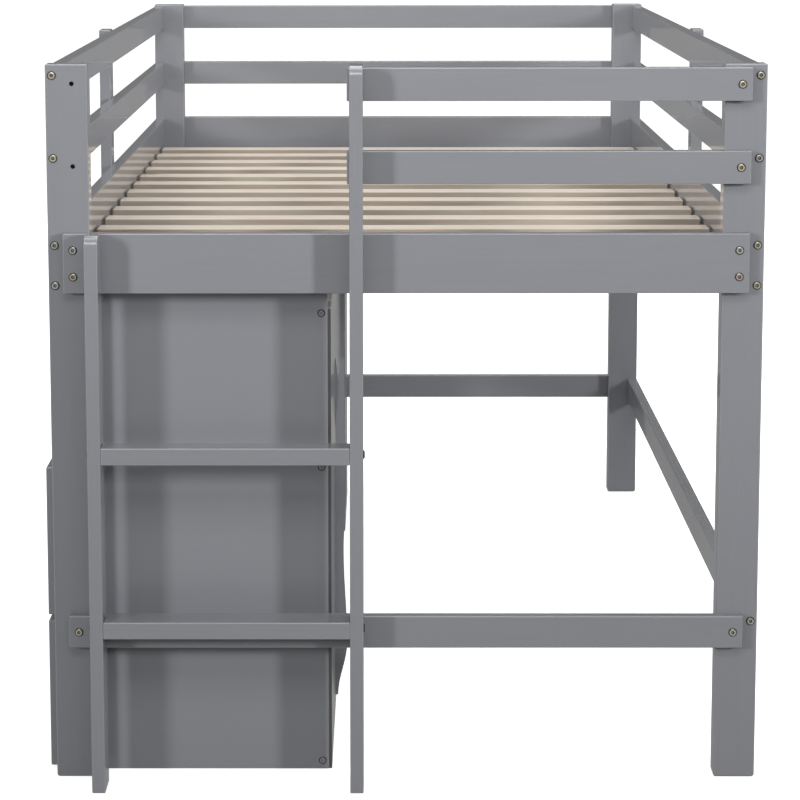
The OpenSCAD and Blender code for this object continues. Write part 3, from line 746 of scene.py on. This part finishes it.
def panel_outline(lo, hi):
    """Its face, in X and Z."""
    step_x, step_z = lo[0] + STEP_ACROSS, hi[2] - STEP_DOWN
    front = [(lo[0], lo[2]), (hi[0], lo[2]), (hi[0], hi[2])]
    return front + [(step_x, hi[2]), (step_x, step_z), (lo[0], step_z)]


for node in ("stringer_left", "stringer_right"):
    name = node + "_board"
    outline_piece(name, node, stringer_outline, 0, EASE_WOOD, WOOD, grain=2)
for node in ("chest_end_near", "chest_end_far", "bookcase_ends"):
    outline_piece(node + "_board", node, panel_outline, 1, EASE_PANEL, BOARD)

# each drawer box is four walls round a bottom
WALL, FLOOR = 0.012, 0.006
for node in ("drawer_upper_box", "drawer_lower_box"):
    lo, hi = (Vector(corner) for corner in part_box(node))
    parts = [
        (lo, Vector((hi.x, lo.y + WALL, hi.z))),
        (Vector((lo.x, hi.y - WALL, lo.z)), hi),
        (Vector((lo.x, lo.y + WALL, lo.z)), Vector((lo.x + WALL, hi.y - WALL, hi.z))),
        (Vector((hi.x - WALL, lo.y + WALL, lo.z)), Vector((hi.x, hi.y - WALL, hi.z))),
        (lo + Vector((WALL, WALL, 0)), Vector((hi.x - WALL, hi.y - WALL, lo.z + FLOOR))),
    ]
    board_piece(node + "_boards", node, PINE, EASE_BOX, boxes=parts)


def carried(node, material):
    """A CAD node that stays as it is, with a material of its own."""
    for place in NODES[node].material_slots:
        place.material = material


for node in ("rail_bolts", "corner_bolts", "ladder_bolts"):
    fastener_piece(node + "_heads", node, ZINC, bolt_profile)
fastener_piece("unit_screws_heads", "unit_screws", NICKEL, screw_profile)
carried("frame_nuts", BOARD)
for node in ("wood_screws", "desk_screws"):
    carried(node, NICKEL)
for node in ("chest_runners", "drawer_upper_slides", "drawer_lower_slides", "caster_brackets"):
    carried(node, STEEL)
for node in ("drawer_upper_knob", "drawer_lower_knob", "desk_end_near", "desk_end_far"):
    carried(node, BOARD)
for node in NODES:
    if node.startswith("wheel_"):
        carried(node, RUBBER)


# ------------------------------------------------------------------ studio
def plain(name, colour, strength=0.0):
    """A matt stage material, which glows white where it has a strength."""
    t = Tree(name)
    t.shade(Base_Color=(*colour, 1.0), Roughness=0.9, Specular_IOR_Level=0.1)
    if strength:
        t.shade(Emission_Color=(1, 1, 1, 1), Emission_Strength=strength)
    return t.material


FLOOR_RADIUS = 60.0
DOME_RADIUS = 70.0
RAYS = ("camera", "diffuse", "glossy", "transmission", "shadow")


def seen_by(obj, rays):
    """A part of the stage that only some kinds of ray see."""
    for ray in RAYS:
        setattr(obj, "visible_" + ray, ray in rays)


def disc(name, z, material, rays):
    """A wide disc of floor for some kinds of ray."""
    bm = bmesh.new()
    bmesh.ops.create_circle(bm, cap_ends=True, segments=96, radius=FLOOR_RADIUS)
    mesh = bpy.data.meshes.new(name)
    bm.to_mesh(mesh)
    bm.free()
    mesh.materials.append(material)
    obj = new_object(name, mesh)
    obj.location.z = z
    seen_by(obj, rays)


def pale_floor():
    """White, and a little less bright near the bed."""
    t = Tree("floor_white")
    away = t.add("VectorMath", {0: t.space((1, 1, 1))}, operation="LENGTH").outputs["Value"]
    t.shade(Base_Color=(0.9, 0.9, 0.9, 1), Roughness=0.9, Specular_IOR_Level=0.1)
    t.shade(Emission_Color=(1, 1, 1, 1), Emission_Strength=t.span(away, 1.2, 4.5, 0.74, 1.02))
    return t.material


# one floor for each thing it does: being seen, being mirrored, and bouncing light
disc("floor_seen", -0.0004, pale_floor(), ("camera",))
disc("floor_sheen", -0.0007, plain("floor_bright", (0, 0, 0), 0.28), ("glossy",))
disc("floor_lit", -0.0010, plain("floor_grey", (0.25, 0.25, 0.25)), ("diffuse", "shadow"))


def dome():
    """A white surround that only the camera sees."""
    bm = bmesh.new()
    bmesh.ops.create_uvsphere(bm, u_segments=48, v_segments=24, radius=DOME_RADIUS)
    mesh = bpy.data.meshes.new("surround")
    bm.to_mesh(mesh)
    bm.free()
    mesh.materials.append(plain("surround_white", (0, 0, 0), 1.05))
    seen_by(new_object("surround", mesh), ("camera",))


dome()


def softbox(name, at, target, size, power, spread=180.0, mirrored=True):
    """A rectangular light turned to its target; mirrored is whether gloss shows it."""
    data = bpy.data.lights.new(name, "AREA")
    data.shape = "RECTANGLE"
    data.size, data.size_y = size
    data.energy = power
    data.spread = math.radians(spread)
    obj = bpy.data.objects.new(name, data)
    bpy.context.scene.collection.objects.link(obj)
    obj.location = at
    obj.visible_glossy = mirrored
    obj.rotation_mode = "QUATERNION"
    obj.rotation_quaternion = (Vector(target) - Vector(at)).to_track_quat("-Z", "Y")


softbox("key_left", (-3.9, -5.6, 2.2), (-0.1, -0.4, 2.1), (0.7, 1.2), 31, 70, mirrored=False)
softbox("key_right", (4.1, -5.4, 2.2), (0.1, -0.4, 2.1), (0.5, 0.9), 38, 70, mirrored=False)
softbox("overhead", (0.0, 0.4, 3.3), (0.0, 0.4, 0.5), (3.0, 3.4), 80)
softbox("front_top", (0.0, -4.2, 3.4), (0.0, -0.5, 1.4), (3.0, 1.4), 21, 110)
softbox("side_left", (-5.6, 1.6, 2.4), (0.0, 0.2, 0.7), (2.4, 1.8), 52, mirrored=False)
softbox("side_right", (5.6, 1.6, 2.4), (0.0, 0.2, 0.7), (2.4, 1.8), 75, mirrored=False)
softbox("back", (0.6, 6.4, 2.4), (0.0, 0.5, 0.7), (3.0, 1.8), 100, mirrored=False)

world = bpy.data.worlds.new("studio")
bpy.context.scene.world = world
world.use_nodes = True
background = world.node_tree.nodes["Background"]
background.inputs["Color"].default_value = (1, 1, 1, 1)
background.inputs["Strength"].default_value = 0.15
bpy.context.scene.view_settings.view_transform = "Standard"

# ------------------------------------------------------------------ camera
CAMERA_AT = Vector((-0.0303, -4.9782, 1.3482))
PITCH, YAW, ROLL = (math.radians(a) for a in (8.2935, -0.2829, -0.0649))
heading = Vector((math.sin(YAW), math.cos(YAW), 0.0))
forward = heading * math.cos(PITCH) - Z * math.sin(PITCH)
level = Vector((math.cos(YAW), -math.sin(YAW), 0.0))
upward = level.cross(forward)
right = level * math.cos(ROLL) + upward * math.sin(ROLL)
above = upward * math.cos(ROLL) - level * math.sin(ROLL)
camera_data = bpy.data.cameras.new("camera")
camera_data.lens, camera_data.sensor_width = 122.918, 36.0
camera_data.shift_x, camera_data.shift_y = 0.04, -0.15
camera_data.clip_end = 200.0
camera = bpy.data.objects.new("camera", camera_data)
bpy.context.scene.collection.objects.link(camera)
turn = Matrix((right, above, -forward)).transposed().to_4x4()
camera.matrix_world = Matrix.Translation(CAMERA_AT) @ turn
bpy.context.scene.camera = camera
